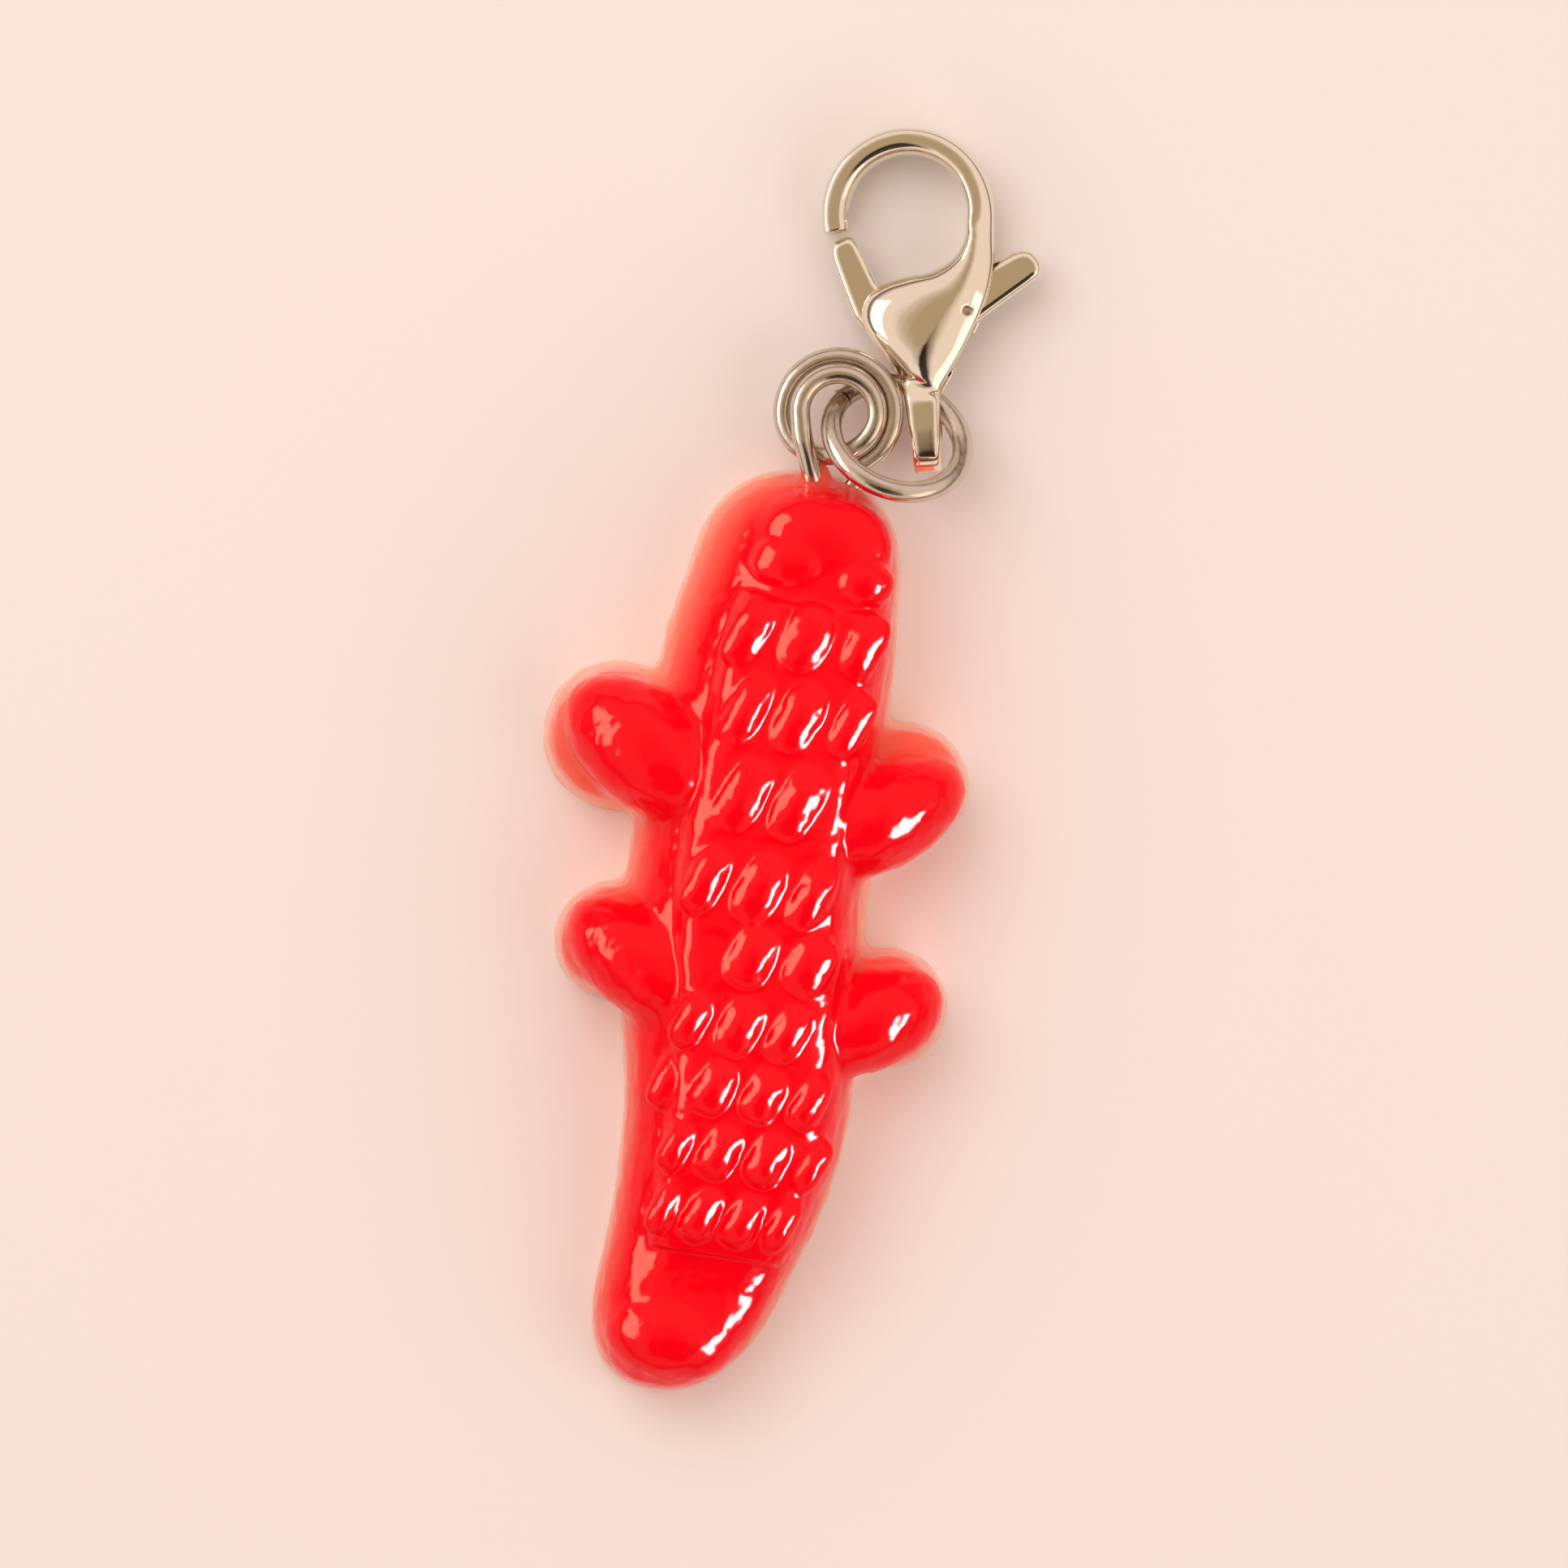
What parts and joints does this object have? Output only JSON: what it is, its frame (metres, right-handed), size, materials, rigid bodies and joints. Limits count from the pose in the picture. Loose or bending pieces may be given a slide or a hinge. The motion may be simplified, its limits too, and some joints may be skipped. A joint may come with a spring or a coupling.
{
  "type": "clip-on charm: a red resin copy of a gummy crocodile on a lobster clasp",
  "caption": "Glossy red crocodile charm with a flat back and a scaly front, on a wire eye, jump ring and steel lobster clasp.",
  "frame": {"origin": "on the crocodile's flat back, near its middle", "axes": "+Y along the spine to the head and the clasp, +X to the right as seen from above, +Z out of the scaly side"},
  "size_m": [0.0193, 0.0558, 0.0075],
  "materials": {
    "resin": "clear, glossy, cast",
    "steel": "polished"
  },
  "bodies": {
    "charm": {"crocodile": "resin", "eye_loop": "steel"},
    "ring": {"jump_ring": "steel"},
    "clasp": {"clasp_body": "steel", "pivot_pin": "steel"},
    "lever": {"clasp_lever": "steel"}
  },
  "joints": [
    {"name": "ring_swivel", "type": "hinge", "parent": "charm", "child": "ring", "pos_m": [0.0004, 0.02295, 0.00368], "axis": [0, 0, 1], "range_deg": [0, 60]},
    {"name": "clasp_swivel", "type": "hinge", "parent": "ring", "child": "clasp", "pos_m": [0.004, 0.0227, 0.0036], "axis": [0.2096, -0.4293, -0.8785], "range_deg": [0, 80]},
    {"name": "lever_pivot", "type": "hinge", "parent": "clasp", "child": "lever", "pos_m": [0.00525, 0.02815, 0.00194], "axis": [0.093, -0.0127, -0.9956], "range_deg": [0, 30], "stiffness_Nm_per_rad": 0.004, "springref_deg": -17.19}
  ]
}
